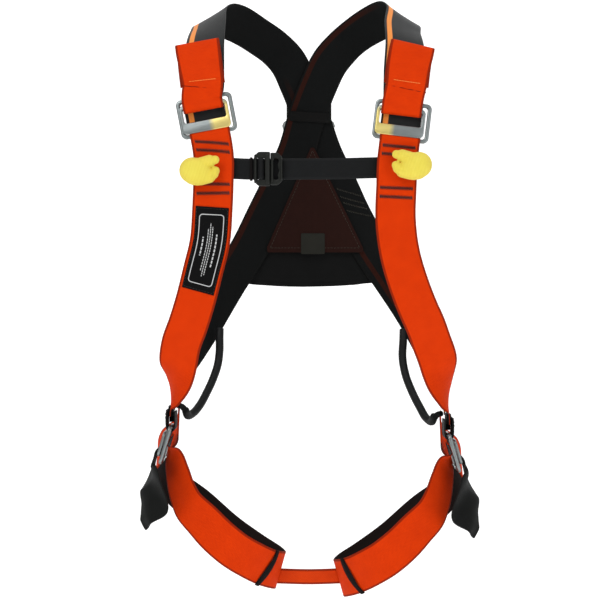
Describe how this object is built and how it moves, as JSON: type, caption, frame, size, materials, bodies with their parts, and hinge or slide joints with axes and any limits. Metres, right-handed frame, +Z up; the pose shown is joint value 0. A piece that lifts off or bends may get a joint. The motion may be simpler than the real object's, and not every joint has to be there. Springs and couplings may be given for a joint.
{
  "type": "safety harness",
  "caption": "Full-body fall-arrest harness of flat orange and black webbing with pass-through metal adjusters, chest strap, folded sternal loops, dorsal ring and leg loops.",
  "frame": {"origin": "midway between the two shoulder straps where they pass over the wearer's shoulders", "axes": "+Z up the wearer's spine, front of the harness towards -Y, the wearer's right on -X"},
  "size_m": [0.3884, 0.2561, 0.6909],
  "materials": {
    "webbing_black_striped": "woven polyester webbing with one orange stripe, satin",
    "webbing_orange": "woven polyester webbing, orange outside and black inside",
    "strap_black": "narrow woven webbing",
    "black_plastic": "moulded acetal, fine satin",
    "webbing_yellow": "folded yellow webbing",
    "zinc_steel": "zinc-plated stamped steel, polished edges",
    "forged_steel": "zinc-plated forged rod",
    "pad_fabric": "black woven cover over thin foam",
    "panel_fabric": "orange fabric panel",
    "grey_label": "woven label without print",
    "label_fabric": "black label with a plain frame and plain lines",
    "gear_loop_cover": "moulded tube cover",
    "keeper_band": "elastic band and sewn webbing keeper"
  },
  "bodies": {
    "torso": {"shoulder_strap_left": "webbing_black_striped", "shoulder_strap_right": "webbing_black_striped", "shoulder_tail_left": "webbing_orange", "shoulder_tail_right": "webbing_orange", "chest_strap_left": "webbing_orange", "chest_strap_right": "webbing_orange", "shoulder_large_frame_left": "zinc_steel", "shoulder_large_frame_right": "zinc_steel", "id_label": "label_fabric", "sternum_strap_left": "strap_black", "sternum_strap_right": "strap_black", "sternum_buckle_frame": "black_plastic", "sternum_buckle_hook": "black_plastic", "back_pad": "pad_fabric", "back_panel": "panel_fabric", "back_label": "grey_label", "dorsal_plate": "black_plastic", "ring_keeper": "keeper_band", "gear_loop_left": "gear_loop_cover", "gear_loop_right": "gear_loop_cover"},
    "leg_loops": {"hip_loop_left": "webbing_black_striped", "hip_large_frame_left": "zinc_steel", "leg_strap_left": "webbing_orange", "leg_tail_left": "webbing_black_striped", "leg_keeper_left": "keeper_band", "hip_loop_right": "webbing_black_striped", "hip_large_frame_right": "zinc_steel", "leg_strap_right": "webbing_orange", "leg_tail_right": "webbing_black_striped", "leg_keeper_right": "keeper_band", "sub_pelvic_strap": "webbing_orange"},
    "dorsal_ring": {"dorsal_ring": "forged_steel"},
    "sternal_loop_left": {"sternal_loop_left": "webbing_yellow"},
    "sternal_loop_right": {"sternal_loop_right": "webbing_yellow"},
    "shoulder_slider_left": {"shoulder_small_frame_left": "zinc_steel"},
    "hip_slider_left": {"hip_small_frame_left": "zinc_steel"},
    "shoulder_slider_right": {"shoulder_small_frame_right": "zinc_steel"},
    "hip_slider_right": {"hip_small_frame_right": "zinc_steel"}
  },
  "joints": [
    {"name": "shoulder_release_left", "type": "hinge", "parent": "torso", "child": "shoulder_slider_left", "pos_m": [-0.11818, -0.09876, -0.12296], "axis": [-0.9816, -0.0265, -0.189], "range_deg": [0, 22]},
    {"name": "shoulder_release_right", "type": "hinge", "parent": "torso", "child": "shoulder_slider_right", "pos_m": [0.1029, -0.09865, -0.12851], "axis": [-0.9925, 0.0169, 0.1207], "range_deg": [0, 22]},
    {"name": "hip_release_left", "type": "hinge", "parent": "leg_loops", "child": "hip_slider_left", "pos_m": [-0.16949, -0.037, -0.51386], "axis": [0, -1, 0], "range_deg": [0, 22]},
    {"name": "hip_release_right", "type": "hinge", "parent": "leg_loops", "child": "hip_slider_right", "pos_m": [0.17169, -0.033, -0.52306], "axis": [0, 1, 0], "range_deg": [0, 22]},
    {"name": "leg_swing", "type": "hinge", "parent": "torso", "child": "leg_loops", "pos_m": [0.001, -0.027, -0.477], "axis": [1, 0, 0], "range_deg": [-15, 15]},
    {"name": "dorsal_ring_swing", "type": "hinge", "parent": "torso", "child": "dorsal_ring", "pos_m": [0.0005, 0.1225, -0.126], "axis": [1, 0, 0], "range_deg": [0, 150]},
    {"name": "sternal_swing_left", "type": "hinge", "parent": "torso", "child": "sternal_loop_left", "pos_m": [-0.0985, -0.1075, -0.197], "axis": [0, 0, 1], "range_deg": [0, 90]},
    {"name": "sternal_swing_right", "type": "hinge", "parent": "torso", "child": "sternal_loop_right", "pos_m": [0.0925, -0.1075, -0.1915], "axis": [0, 0, -1], "range_deg": [0, 90]}
  ]
}
